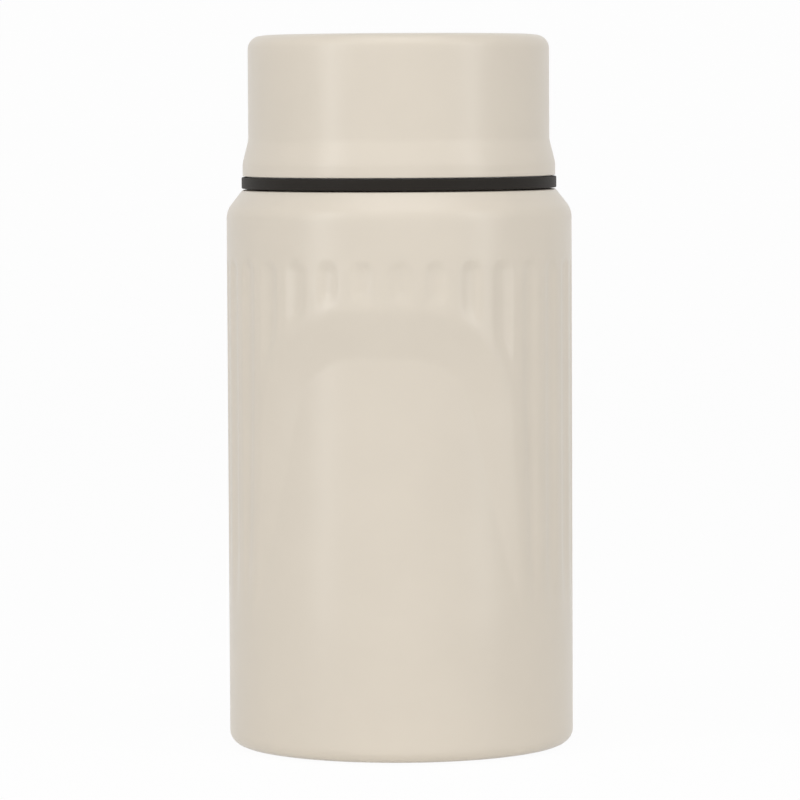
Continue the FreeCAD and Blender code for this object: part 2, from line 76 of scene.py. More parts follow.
def radius_of(node):
    """Outer radius of a turned piece."""
    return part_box(node)[1].x


def foot_of(node):
    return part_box(node)[0].z


def top_of(node):
    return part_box(node)[1].z


def length(name, text, default):
    return FloatProperty(name=name, description=text, default=default, unit="LENGTH", precision=5)


def angle(name, text, degrees):
    return FloatProperty(name=name, description=text, default=math.radians(degrees), subtype="ANGLE")


def share(name, text, default):
    return FloatProperty(name=name, description=text, default=default, min=0.0, subtype="FACTOR")


def power(name, text, default):
    return FloatProperty(name=name, description=text, default=default, unit="POWER")


def colour(name, text, default):
    limits = {"min": 0, "max": 1}
    return FloatVectorProperty(name=name, description=text, default=default, size=3, subtype="COLOR", **limits)


class JarBodySizes(bpy.types.PropertyGroup):
    """Sizes of the pressed outer skin."""
    radius: length("Body radius", "Outer radius of the body", radius_of("outer_shell"))
    wall: length("Wall", "Thickness of the steel skin", 0.0006)
    foot_round: length("Foot rounding", "Rounding where the wall meets the base", 0.0038)
    foot_width: length("Foot width", "Width of the ring the base plate sits in", 0.0075)
    ring_gap: length("Ring gap", "Gap between the body's top and the dark ring", 0.0004)
    shoulder_drop: length("Shoulder drop", "Height of the slanted shoulder", 0.0058)
    shoulder_angle: angle("Shoulder angle", "Slant of the shoulder from upright", 38)
    shoulder_round: length("Shoulder rounding", "Rounding under the shoulder", 0.0065)
    shoulder_edge: length("Shoulder edge", "Rounding at the shoulder's top edge", 0.0009)
    neck_radius: length("Neck radius", "Radius of the neck under its thread", 0.038)
    neck_round: length("Neck rounding", "Rounding at the root of the neck", 0.0014)
    flute_count: IntProperty(name="Flutes", description="Flutes round the whole body", default=30, min=3)
    flute_depth: length("Flute depth", "Depth of each flute", 0.00075)
    flute_width: length("Flute width", "Width of each flute, edge to edge", 0.0078)
    flute_top: length("Flute top", "Height of the flutes' rounded tops", 0.1399)
    flute_fade_top: length("Fade top", "Height where the flutes start to fade out", 0.062)
    flute_fade_foot: length("Fade foot", "Height where the flutes have faded out", 0.030)
    flute_run_out: length("Run-out", "Length over which a flute dies out over the arch", 0.006)
    arch_top: length("Arch top", "Height of the arched hollow's outer edge", 0.126)
    arch_foot: length("Arch foot", "Height where the hollow's floor is back at the wall", 0.036)
    arch_half_width: length("Arch half width", "Half the hollow's width at its foot, along the wall", 0.044)
    arch_lean: angle("Arch lean", "How far the hollow's sides lean in", 4)
    arch_round: length("Arch corner", "Corner radius of the hollow's outline", 0.030)
    arch_depth: length("Arch depth", "Depth of the hollow's floor at its deepest", 0.0026)
    arch_bevel: length("Arch bevel", "Width of the sloping band round the hollow", 0.0135)
    arch_softness: length("Arch softness", "How softly the band meets the floor", 0.00015)
    arch_edge: length("Arch edge", "How softly the band leaves the wall", 0.00030)


class JarThreadSizes(bpy.types.PropertyGroup):
    """Sizes of the two four-start threads."""
    lead: length("Lead", "Rise of each thread in one full turn", 0.024)
    starts: IntProperty(name="Starts", description="Ridges that run side by side", default=4, min=1)
    width: length("Ridge width", "Width of a thread ridge", 0.0024)
    height: length("Ridge height", "Height of a thread ridge", 0.0010)
    fade: length("Ridge run-out", "Height over which a ridge dies out at its ends", 0.0009)


class JarColours(bpy.types.PropertyGroup):
    """Colours of the finishes."""
    coat: colour("Coat", "Satin powder coat of body and cup", (0.735, 0.665, 0.565))
    ring: colour("Dark plastic", "Stopper, ring and drinking cup", (0.021, 0.018, 0.015))
    button: colour("Button", "Vent button and stem", (0.30, 0.29, 0.28))
    steel: colour("Steel", "Bare brushed steel", (0.62, 0.61, 0.59))
    silicone: colour("Gaskets", "White silicone", (0.80, 0.79, 0.76))
    pad: colour("Base pad", "Warm grey silicone", (0.42, 0.39, 0.34))
    foam: colour("Foam", "Insulating foam", (0.85, 0.84, 0.80))
    foil: colour("Foil", "Reflective foil", (0.78, 0.77, 0.75))
    bead: colour("Bead", "Fused bead in the base", (0.35, 0.42, 0.40))


class JarStage(bpy.types.PropertyGroup):
    """Camera, lamps and floor."""
    distance: length("Camera distance", "From the jar's axis to the eye", 1.355)
    eye_height: length("Eye height", "Height of the eye over the floor", 0.1852)
    azimuth: angle("Camera side", "How far the eye stands to the right of the jar's front", 6)
    pitch: angle("Camera pitch", "How far the camera looks down", 3.676)
    roll: angle("Camera roll", "Tilt of the frame", 0.273)
    lens: FloatProperty(name="Lens", description="Focal length for the frame", default=214.4, unit="CAMERA")
    ambient: share("Ambient", "Level of the light from in front", 0.86)
    ambient_back: share("Ambient behind", "Level of the light from behind", 0.18)
    key: power("Left lamp", "Power of the tall lamp on the left", 4.2)
    fill: power("Right lamp", "Power of the tall lamp on the right", 3.4)
    overhead: power("Top lamp", "Power of the overhead lamp", 3.2)
    key_side: angle("Left lamp side", "Where the left lamp stands, from the jar's front", -46)
    fill_side: angle("Right lamp side", "Where the right lamp stands, from the jar's front", 62)
    tall_lift: angle("Tall lamps' lift", "How high the two tall lamps stand", 16)
    overhead_lift: angle("Top lamp's lift", "How high the overhead lamp stands", 70)


def settings(context):
    return context.scene.food_jar


class FoodJar(bpy.types.PropertyGroup):
    """Everything that a user would change."""
    body: PointerProperty(type=JarBodySizes, name="Body", description="Sizes of the outer skin")
    thread: PointerProperty(type=JarThreadSizes, name="Threads", description="Sizes of the threads")
    colours: PointerProperty(type=JarColours, name="Colours", description="Colours of the finishes")
    stage: PointerProperty(type=JarStage, name="Stage", description="Camera, lamps and floor")


def rounded_outline(corners, steps=6):
    """Points of an outline from (radius, height, rounding) corners, with the roundings as arcs."""
    count = len(corners)
    points = []
    for i in range(count):
        here = Vector(corners[i][:2])
        rounding = corners[i][2]
        if rounding <= 0:
            points.append(here)
            continue
        back = (Vector(corners[i - 1][:2]) - here).normalized()
        ahead = (Vector(corners[(i + 1) % count][:2]) - here).normalized()
        half = back.angle(ahead) / 2
        middle = here + (back + ahead).normalized() * (rounding / math.sin(half))
        start = here + back * (rounding / math.tan(half)) - middle
        stop = here + ahead * (rounding / math.tan(half)) - middle
        turn = start.angle_signed(stop)
        for k in range(steps + 1):
            point = start.copy()
            point.rotate(Matrix.Rotation(-turn * k / steps, 2))
            points.append(middle + point)
    return points


def divided(points, longest, closed=False):
    """The same outline with extra points, so that no step is longer than the given length."""
    result = []
    last = len(points) if closed else len(points) - 1
    for i in range(last):
        here, ahead = points[i], points[(i + 1) % len(points)]
        pieces = max(1, math.ceil((ahead - here).length / longest))
        result += [here.lerp(ahead, k / pieces) for k in range(pieces)]
    if not closed:
        result.append(points[-1])
    return result


def revolved(name, outline, columns, relief=None):
    """Mesh object turned about the jar's axis from a closed outline. relief moves a point outwards."""
    rows = len(outline)
    points = []
    for c in range(columns):
        turn = TURN * c / columns
        for r, z in outline:
            out = r + (relief(turn, r, z) if relief and r > TINY else 0.0)
            points.append((out * math.cos(turn), out * math.sin(turn), z))
    faces = []
    for c in range(columns):
        here, ahead = c * rows, (c + 1) % columns * rows
        for k in range(rows):
            up = (k + 1) % rows
            if outline[k][0] > TINY or outline[up][0] > TINY:
                faces.append((here + k, here + up, ahead + up, ahead + k))
    mesh = bpy.data.meshes.new(name)
    mesh.from_pydata(points, [], faces)
    return finished(name, mesh)


def finished(name, mesh, sharp=math.radians(32)):
    """Closes poles, turns faces outwards, shades softly and links the piece."""
    work = bmesh.new()
    work.from_mesh(mesh)
    bmesh.ops.remove_doubles(work, verts=work.verts, dist=TINY)
    bmesh.ops.recalc_face_normals(work, faces=work.faces)
    for face in work.faces:
        face.smooth = True
    work.to_mesh(mesh)
    work.free()
    mesh.set_sharp_from_angle(angle=sharp)
    piece = bpy.data.objects.new(name, mesh)
    bpy.context.scene.collection.objects.link(piece)
    return piece


def placed(piece, node, body, material):
    """Puts a finished piece in place of its CAD node."""
    piece.data.materials.append(material)
    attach(piece, body)
    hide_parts(node)
    return piece


def dressed(node, material):
    """Gives a CAD node that stays a better finish."""
    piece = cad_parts[node]
    for i in range(max(1, len(piece.material_slots))):
        if i < len(piece.material_slots):
            piece.material_slots[i].material = material
        else:
            piece.data.materials.append(material)


def smooth_step(low, high, value):
    t = min(max((value - low) / (high - low), 0.0), 1.0)
    return t * t * (3 - 2 * t)


def smooth_larger(a, b, softness):
    """Larger of two depths, blended over a softness where they meet."""
    near = max(softness - abs(a - b), 0.0) / softness
    return max(a, b) + near * near * softness / 4


def smooth_smaller(a, b, softness):
    return -smooth_larger(-a, -b, softness)


def arch_outline(body, across, z):
    """Distance outside the arch's outline, negative inside, on the unrolled wall."""
    half = body.arch_half_width - math.tan(body.arch_lean) * (z - body.arch_foot)
    side = abs(across) - (half - body.arch_round)
    up = z - (body.arch_top - body.arch_round)
    return math.hypot(max(side, 0), max(up, 0)) + min(max(side, up), 0) - body.arch_round


def arch_depth(body, across, z):
    """Depth of the arched hollow: a sloping band, then a floor that rises out again at its foot."""
    band = -arch_outline(body, across, z) * body.arch_depth / body.arch_bevel
    part = (z - body.arch_foot) / (body.arch_top - body.arch_bevel - body.arch_foot)
    if part < 0:
        floor = HOLLOW_CURVE * body.arch_depth * part
    else:
        floor = body.arch_depth * (1 - (1 - min(part, 1)) ** HOLLOW_CURVE)
    return smooth_smaller(band, floor, body.arch_softness)


def flute_depth(body, turn, z):
    """Depth of the nearest flute: a soft trough with a rounded top that fades out downwards."""
    pitch = TURN / body.flute_count
    off = (turn + pitch / 2) % pitch - pitch / 2
    across = off * body.radius
    up = max(z - (body.flute_top - body.flute_width / 2), 0)
    reach = 2 * math.hypot(across, up) / body.flute_width
    if reach >= 1:
        return 0.0
    fade = smooth_step(body.flute_fade_foot, body.flute_fade_top, z)
    return body.flute_depth * (1 - reach * reach) ** FLUTE_CURVE * fade


def pressed_depth(body, turn, z):
    """How far the wall is pressed in at a point: flutes all round, and one arch each at front and back."""
    off = min(abs((turn - side + math.pi) % TURN - math.pi) for side in (TURN / 4, 3 * TURN / 4))
    across = off * body.radius
    arch = smooth_larger(arch_depth(body, across, z), 0.0, body.arch_edge)
    clear = smooth_step(0.0, body.flute_run_out, arch_outline(body, across, z))
    return smooth_larger(arch, flute_depth(body, turn, z) * clear, body.arch_edge) - body.arch_edge / 4


def thread_ridge(thread, turn, z, low, high, half_pitch_on):
    """Height of a thread ridge at a point of a wall between two levels."""
    pitch = thread.lead / thread.starts
    along = (z - thread.lead * turn / TURN - half_pitch_on * pitch / 2) % pitch
    off = min(along, pitch - along)
    if off >= thread.width / 2:
        return 0.0
    ends = min(smooth_step(low, low + thread.fade, z), 1 - smooth_step(high - thread.fade, high, z))
    return thread.height * min(1.0, RIDGE_FLANK * (1 - 2 * off / thread.width)) * ends


def body_outline(body, inset):
    """Outside outline of the body from base to neck, moved inwards by a wall thickness."""
    foot = foot_of("outer_shell")
    top = foot_of("stopper_body") - body.ring_gap - inset
    slope = math.tan(body.shoulder_angle)
    radius = body.radius - inset
    shift = inset * (1 / math.cos(body.shoulder_angle) - 1) / slope
    shoulder = top + inset - body.shoulder_drop - shift
    neck = body.neck_radius - inset
    corners = [
        (body.radius - body.foot_width, foot + inset, 0),
        (radius, foot + inset, body.foot_round - inset),
        (radius, shoulder, body.shoulder_round - inset),
        (radius - (top - shoulder) * slope, top, body.shoulder_edge - inset),
        (neck, top, body.neck_round + inset),
        (neck, top_of("outer_shell"), 0),
    ]
    return rounded_outline(corners)


def node_material(name):
    """New material with its node tree, shader and a helper that adds nodes."""
    material = bpy.data.materials.new(name)
    material.use_nodes = True
    tree = material.node_tree
    shader = tree.nodes["Principled BSDF"]

    def add(kind, **values):
        node = tree.nodes.new(kind)
        for key, value in values.items():
            if hasattr(node, key):
                setattr(node, key, value)
            else:
                node.inputs[key.replace("_", " ")].default_value = value
        return node
    return material, tree.links, shader, add


def noise(add, links, scale, detail, coordinates):
    node = add("ShaderNodeTexNoise", Scale=scale, Detail=detail)
    links.new(coordinates, node.inputs["Vector"])
    return node


def varied_colour(add, links, shader, texture, base, spread):
    """Base colour that drifts a little lighter and darker with a texture."""
    ramp = add("ShaderNodeValToRGB")
    dark = [channel * (1 - spread) for channel in base]
    light = [min(channel * (1 + spread), 1.0) for channel in base]
    ramp.color_ramp.elements[0].position = 0.3
    ramp.color_ramp.elements[1].position = 0.7
    ramp.color_ramp.elements[0].color = (*dark, 1)
    ramp.color_ramp.elements[1].color = (*light, 1)
    links.new(texture.outputs["Fac"], ramp.inputs["Fac"])
    links.new(ramp.outputs["Color"], shader.inputs["Base Color"])


def varied_roughness(add, links, shader, texture, low, high):
    spread = add("ShaderNodeMapRange")
    spread.inputs["To Min"].default_value = low
    spread.inputs["To Max"].default_value = high
    links.new(texture.outputs["Fac"], spread.inputs["Value"])
    links.new(spread.outputs["Result"], shader.inputs["Roughness"])


def bumped(add, links, shader, texture, strength, distance):
    bump = add("ShaderNodeBump", Strength=strength, Distance=distance)
    links.new(texture.outputs["Fac"], bump.inputs["Height"])
    links.new(bump.outputs["Normal"], shader.inputs["Normal"])


def grained(name, base, spread, grain, rough, bump, mottle=60.0):
    """Moulded, sprayed or foamed finish: slow colour drift, fine grain in gloss and surface."""
    material, links, shader, add = node_material(name)
    place = add("ShaderNodeTexCoord").outputs["Object"]
    slow = noise(add, links, mottle, 3.0, place)
    fine = noise(add, links, grain, 2.0, place)
    varied_colour(add, links, shader, slow, base, spread)
    varied_roughness(add, links, shader, fine, *rough)
    bumped(add, links, shader, fine, *bump)
    return material, shader


def brushed(name, base, rough):
    """Steel brushed round the axis: streaks that follow the turn."""
    material, links, shader, add = node_material(name)
    place = add("ShaderNodeTexCoord").outputs["Object"]
    split = add("ShaderNodeSeparateXYZ")
    links.new(place, split.inputs["Vector"])
    turn = add("ShaderNodeMath", operation="ARCTAN2")
    links.new(split.outputs["Y"], turn.inputs[0])
    links.new(split.outputs["X"], turn.inputs[1])
    reach = add("ShaderNodeVectorMath", operation="LENGTH")
    flat = add("ShaderNodeCombineXYZ")
    links.new(split.outputs["X"], flat.inputs["X"])
    links.new(split.outputs["Y"], flat.inputs["Y"])
    links.new(flat.outputs["Vector"], reach.inputs[0])
    polar = add("ShaderNodeCombineXYZ")
    links.new(turn.outputs["Value"], polar.inputs["X"])
    links.new(reach.outputs["Value"], polar.inputs["Y"])
    links.new(split.outputs["Z"], polar.inputs["Z"])
    stretch = add("ShaderNodeMapping", vector_type="POINT")
    stretch.inputs["Scale"].default_value = (3.0, 5000.0, 5000.0)
    links.new(polar.outputs["Vector"], stretch.inputs["Vector"])
    streaks = noise(add, links, 1.0, 4.0, stretch.outputs["Vector"])
    varied_colour(add, links, shader, streaks, base, 0.06)
    varied_roughness(add, links, shader, streaks, *rough)
    bumped(add, links, shader, streaks, 0.15, 0.00002)
    shader.inputs["Metallic"].default_value = 1.0
    return material


def coat_finish(colours):
    name, rough, bump = "cream_powder_coat", (0.27, 0.38), (0.12, 0.00003)
    material, shader = grained(name, colours.coat, 0.012, 2600.0, rough, bump, 45.0)
    shader.inputs["Specular IOR Level"].default_value = 0.4
    return material


def plastic_finish(name, base):
    material, shader = grained(name, base, 0.06, 1800.0, (0.48, 0.62), (0.2, 0.00003))
    shader.inputs["Specular IOR Level"].default_value = 0.12
    return material


def silicone_finish(name, base):
    material, shader = grained(name, base, 0.03, 900.0, (0.5, 0.62), (0.15, 0.00004))
    shader.inputs["Subsurface Weight"].default_value = 0.25
    shader.inputs["Subsurface Scale"].default_value = 0.002
    return material


def foam_finish(colours):
    material, links, shader, add = node_material("closed_cell_foam")
    place = add("ShaderNodeTexCoord").outputs["Object"]
    cells = add("ShaderNodeTexVoronoi", Scale=900.0)
    links.new(place, cells.inputs["Vector"])
    ramp = add("ShaderNodeValToRGB")
    ramp.color_ramp.elements[0].color = (*[c * 0.82 for c in colours.foam], 1)
    ramp.color_ramp.elements[1].color = (*colours.foam, 1)
    links.new(cells.outputs["Distance"], ramp.inputs["Fac"])
    links.new(ramp.outputs["Color"], shader.inputs["Base Color"])
    bump = add("ShaderNodeBump", Strength=0.6, Distance=0.0004)
    links.new(cells.outputs["Distance"], bump.inputs["Height"])
    links.new(bump.outputs["Normal"], shader.inputs["Normal"])
    shader.inputs["Roughness"].default_value = 0.9
    return material


def foil_finish(colours):
    """Thin foil with the small creases of hand wrapping."""
    material, links, shader, add = node_material("creased_foil")
    place = add("ShaderNodeTexCoord").outputs["Object"]
    creases = add("ShaderNodeTexVoronoi", feature="DISTANCE_TO_EDGE", Scale=90.0)
    bend = noise(add, links, 60.0, 4.0, place)
    warped = add("ShaderNodeVectorMath", operation="MULTIPLY_ADD")
    links.new(bend.outputs["Color"], warped.inputs[0])
    warped.inputs[1].default_value = (0.02, 0.02, 0.02)
    links.new(place, warped.inputs[2])
    links.new(warped.outputs["Vector"], creases.inputs["Vector"])
    varied_colour(add, links, shader, bend, colours.foil, 0.05)
    bump = add("ShaderNodeBump", Strength=0.5, Distance=0.0008)
    links.new(creases.outputs["Distance"], bump.inputs["Height"])
    links.new(bump.outputs["Normal"], shader.inputs["Normal"])
    shader.inputs["Metallic"].default_value = 1.0
    shader.inputs["Roughness"].default_value = 0.18
    return material


def bead_finish(colours):
    material, shader = grained("fused_glass_bead", colours.bead, 0.08, 1200.0, (0.05, 0.12), (0.1, 0.00005))
    shader.inputs["Transmission Weight"].default_value = 0.6
    return material


def spring_finish():
    material, shader = grained("drawn_spring_wire", WIRE_COLOUR, 0.05, 4000.0, (0.22, 0.34), (0.1, 0.00002))
    shader.inputs["Metallic"].default_value = 1.0
    return material


def made_once(name, make, *values):
    """The finish of that name, made the first time that it is asked for."""
    return bpy.data.materials.get(name) or make(*values)


def dark_plastic(colours):
    return made_once("dark_moulded_plastic", plastic_finish, "dark_moulded_plastic", colours.ring)


def grey_plastic(colours):
    return made_once("grey_moulded_plastic", plastic_finish, "grey_moulded_plastic", colours.button)


def white_silicone(colours):
    return made_once("white_silicone", silicone_finish, "white_silicone", colours.silicone)


def brushed_steel(colours):
    return made_once("brushed_steel", brushed, "brushed_steel", colours.steel, (0.2, 0.42))


class FOODJAR_OT_outer_shell(bpy.types.Operator):
    """Make the pressed outer skin with its flutes, arched hollows and neck thread"""
    bl_idname = "foodjar.outer_shell"
    bl_label = "Outer Shell"

    def execute(self, context):
        jar = settings(context)
        body, thread = jar.body, jar.thread
        outside = divided(body_outline(body, 0.0), 0.0008)
        inside = divided(body_outline(body, body.wall), 0.0016)
        outline = [tuple(p) for p in outside + inside[::-1]]
        neck_foot = foot_of("stopper_body")
        wall_reach = body.radius - 0.002
        thread_low, thread_high = neck_foot + 0.003, top_of("outer_shell") - 0.0022

        def relief(turn, r, z):
            if r > wall_reach and z < neck_foot - body.shoulder_drop:
                return -pressed_depth(body, turn, z)
            if z > neck_foot and r > body.neck_radius - body.wall / 2:
                return thread_ridge(thread, turn, z, thread_low, thread_high, 0)
            return 0.0

        piece = revolved("shell_skin", outline, 16 * body.flute_count, relief)
        coat = made_once("cream_powder_coat", coat_finish, jar.colours)
        placed(piece, "outer_shell", "jar", coat)
        return {"FINISHED"}


class FOODJAR_OT_vessel(bpy.types.Operator):
    """Finish the inner vessel and what is sealed round and under it"""
    bl_idname = "foodjar.vessel"
    bl_label = "Vessel and Vacuum Space"

    def execute(self, context):
        colours = settings(context).colours
        steel = brushed_steel(colours)
        for node in ("inner_liner", "getter", "base_plate"):
            dressed(node, steel)
        dressed("foil_wrap", made_once("creased_foil", foil_finish, colours))
        dressed("vacuum_seal", made_once("fused_glass_bead", bead_finish, colours))
        return {"FINISHED"}


class FOODJAR_OT_base_pad(bpy.types.Operator):
    """Make the silicone pad under the base, with shallow rings on its underside"""
    bl_idname = "foodjar.base_pad"
    bl_label = "Base Pad"

    def execute(self, context):
        colours = settings(context).colours
        radius, top = radius_of("base_pad"), top_of("base_pad")
        bead = radius_of("vacuum_seal")
        bead_foot = foot_of("vacuum_seal")
        gap, groove, ring_width = 0.0003, 0.0004, 0.0009
        corners = [(0, 0, 0)]
        rings = 4
        for i in range(rings):
            middle = radius * (0.42 + 0.14 * i)
            corners += [
                (middle - ring_width, 0, 0.0002),
                (middle - ring_width / 2, groove, 0.0002),
                (middle + ring_width / 2, groove, 0.0002),
                (middle + ring_width, 0, 0.0002),
            ]
        corners += [
            (radius, 0, 0.0006),
            (radius, top, 0.0002),
            (bead + gap, top, 0),
            (bead + gap, bead_foot - gap, 0),
            (0, bead_foot - gap, 0),
        ]
        outline = [tuple(p) for p in rounded_outline(corners, 3)]
        pad = made_once("pad_silicone", silicone_finish, "pad_silicone", colours.pad)
        placed(revolved("pad", outline, 144), "base_pad", "jar", pad)
        return {"FINISHED"}


def stopper_sizes(body):
    """Radii and levels of the stopper that its frame boxes give."""
    lip = top_of("inner_liner")
    gasket = top_of("stopper_gasket")
    return {
        "flange": radius_of("stopper_body"),
        "flange_foot": foot_of("stopper_body"),
        "flange_top": foot_of("cup_shell") - 0.0003,
        "seat": body.neck_radius + 0.0005,
        "skirt_in": body.neck_radius + 0.0013,
        "skirt_out": body.neck_radius + 0.0025,
        "grip": body.neck_radius + 0.0022,
        "grip_foot": lip - 0.0018,
        "deck_under": gasket,
        "deck_top": top_of("stopper_body"),
        "well": 0.0096,
        "well_wall": 0.0013,
        "well_floor": foot_of("vent_spring"),
        "stem_hole": 0.0023,
    }


class FOODJAR_OT_stopper(bpy.types.Operator):
    """Make the stopper with its dark ring, grip, vent well and both threads"""
    bl_idname = "foodjar.stopper"
    bl_label = "Stopper"

    def execute(self, context):
        jar = settings(context)
        thread = jar.thread
        s = stopper_sizes(jar.body)
        well_out = s["well"] + s["well_wall"]
        corners = [
            (s["stem_hole"], s["well_floor"] - s["well_wall"], 0),
            (well_out, s["well_floor"] - s["well_wall"], 0.0003),
            (well_out, s["deck_under"], 0),
            (s["seat"], s["deck_under"], 0.0003),
            (s["seat"], s["grip_foot"], 0.0002),
            (s["skirt_in"], s["grip_foot"] - 0.0008, 0.0002),
            (s["skirt_in"], s["flange_foot"], 0.0003),
            (s["flange"], s["flange_foot"], 0.0003),
            (s["flange"], s["flange_top"], 0.0003),
            (s["skirt_out"], s["flange_top"], 0.0004),
            (s["skirt_out"], s["grip_foot"] - 0.0003, 0.0001),
            (s["grip"], s["grip_foot"], 0.0001),
            (s["grip"], s["deck_top"], 0.0014),
            (s["well"], s["deck_top"], 0.0003),
            (s["well"], s["well_floor"], 0.0004),
            (s["stem_hole"], s["well_floor"], 0.0002),
        ]
        outline = [tuple(p) for p in divided(rounded_outline(corners, 5), 0.0006, True)]
        scallops, scallop_depth = 12, 0.0007

        def relief(turn, r, z):
            if z > s["grip_foot"] and r > s["grip"] - 0.004:
                swell = (1 + math.cos(scallops * turn)) / 2
                return -scallop_depth * swell ** 2 * smooth_step(s["grip_foot"], s["grip_foot"] + 0.0012, z)
            if abs(r - s["skirt_in"]) < 0.0004 and z < s["grip_foot"] - 0.001:
                return -thread_ridge(thread, turn, z, s["flange_foot"] + 0.001, s["flange_foot"] + 0.012, 1)
            if abs(r - s["skirt_out"]) < 0.0002 and z > s["flange_top"] + 0.0005:
                return thread_ridge(thread, turn, z, s["flange_top"] + 0.0008, s["flange_top"] + 0.0052, 0)
            return 0.0

        piece = revolved("stopper_moulding", outline, 360, relief)
        placed(piece, "stopper_body", "stopper", dark_plastic(jar.colours))
        dressed("stopper_plug", dark_plastic(jar.colours))
        dressed("stopper_foam", made_once("closed_cell_foam", foam_finish, jar.colours))
        return {"FINISHED"}


def lipped_ring(name, node, lips):
    """Soft ring that fills its node's box, with rounded lips on its upper and lower faces."""
    low, high = foot_of(node), top_of(node)
    outer = radius_of(node)
    points = [v.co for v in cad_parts[node].data.vertices]
    inner = min(math.hypot(p.x, p.y) for p in points)
    depth = (high - low) * 0.16
    upper, lower = [], []
    steps = 8 * lips
    for k in range(steps + 1):
        r = inner + (outer - inner) * k / steps
        dip = depth * (1 + math.cos(TURN * lips * k / steps)) / 2
        upper.append((r, high - dip))
        lower.append((r, low + dip))
    return revolved(name, lower + upper[::-1], 180)


class FOODJAR_OT_gaskets(bpy.types.Operator):
    """Make the two silicone gaskets"""
    bl_idname = "foodjar.gaskets"
    bl_label = "Gaskets"

    def execute(self, context):
        silicone = white_silicone(settings(context).colours)
        lip_ring = lipped_ring("lip_gasket", "stopper_gasket", 2)
        placed(lip_ring, "stopper_gasket", "stopper_ring", silicone)
        rim_ring = lipped_ring("rim_gasket", "cup_gasket", 1)
        placed(rim_ring, "cup_gasket", "cup_ring", silicone)
        return {"FINISHED"}


class FOODJAR_OT_vent(bpy.types.Operator):
    """Make the vent's dished button and spring, and finish its collar, stem and seal"""
    bl_idname = "foodjar.vent"
    bl_label = "Pressure Vent"

    def execute(self, context):
        colours = settings(context).colours
        self.button(colours)
        self.spring()
        dressed("vent_collar", dark_plastic(colours))
        dressed("vent_stem", grey_plastic(colours))
        dressed("vent_seal", white_silicone(colours))
        return {"FINISHED"}

    def button(self, colours):
        top, foot = top_of("vent_button"), foot_of("vent_button")
        flange = radius_of("vent_button")
        wall, barrel, stem, flange_height = 0.0014, 0.0079, 0.0020, 0.0022
        dish_depth, dish_radius = 0.0005, 0.0056
        dish = []
        for k in range(9):
            r = dish_radius * k / 8
            dish.append((r, top - dish_depth * (1 + math.cos(math.pi * k / 8)) / 2))
        corners = [
            (dish_radius, top, 0),
            (barrel, top, 0.0009),
            (barrel, foot + flange_height, 0.0001),
            (flange, foot + flange_height, 0.0003),
            (flange, foot, 0.0003),
            (barrel - wall, foot, 0.0002),
            (barrel - wall, top - wall, 0.0004),
            (stem + wall, top - wall, 0.0003),
            (stem + wall, foot, 0.0002),
            (stem, foot, 0),
            (stem, top - wall, 0),
            (0, top - wall, 0),
        ]
        outline = dish[:-1] + [tuple(p) for p in rounded_outline(corners, 4)]
        piece = revolved("button_cap", outline, 96)
        placed(piece, "vent_button", "vent", grey_plastic(colours))

    def spring(self):
        """Wire coil with closed ends, running from the foot to the top of the spring's box."""
        low, high = foot_of("vent_spring"), top_of("vent_spring")
        wire = 0.0004
        coil = radius_of("vent_spring") - wire
        turns, closed, around, along = 5.5, 0.8, 10, 40
        steps = int(turns * along)
        points, faces = [], []
        for i in range(steps + 1):
            turn = TURN * turns * i / steps
            done = min(max((turns * i / steps - closed) / (turns - 2 * closed), 0), 1)
            rest = min(turns * i / steps, closed) + max(turns * i / steps - turns + closed, 0)
            rise = low + wire + rest * 2 * wire + done * (high - low - 2 * wire - closed * 4 * wire)
            outwards = Vector((math.cos(turn), math.sin(turn), 0))
            for k in range(around):
                side = TURN * k / around
                point = outwards * (coil + wire * math.cos(side))
                points.append((point.x, point.y, rise + wire * math.sin(side)))
        for i in range(steps):
            for k in range(around):
                here, ahead = i * around, (i + 1) * around
                on = (k + 1) % around
                faces.append((here + k, here + on, ahead + on, ahead + k))
        faces.append(tuple(range(around)))
        faces.append(tuple(range(steps * around, (steps + 1) * around)))
        mesh = bpy.data.meshes.new("spring_coil")
        mesh.from_pydata(points, [], faces)
        piece = finished("spring_coil", mesh, math.radians(60))
        placed(piece, "vent_spring", "stopper", made_once("drawn_spring_wire", spring_finish))
        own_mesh(piece)


def cup_outline(inset, floor):
    """Outline of the cup lid's skin from its rim to the middle of its top, moved inwards."""
    skirt = radius_of("cup_shell") - inset
    upper = skirt - LID_FLARE
    top = top_of("cup_shell") - inset
    return [
        (skirt, floor + FLARE_FOOT, 0.007 - inset),
        (upper, floor + FLARE_TOP, 0.007 + inset),
        (upper, top - LID_DOME_DROP, 0.0038 - inset),
        (upper - LID_DOME_WIDTH, top, 0.02 - inset),
        (0, top, 0),
    ]


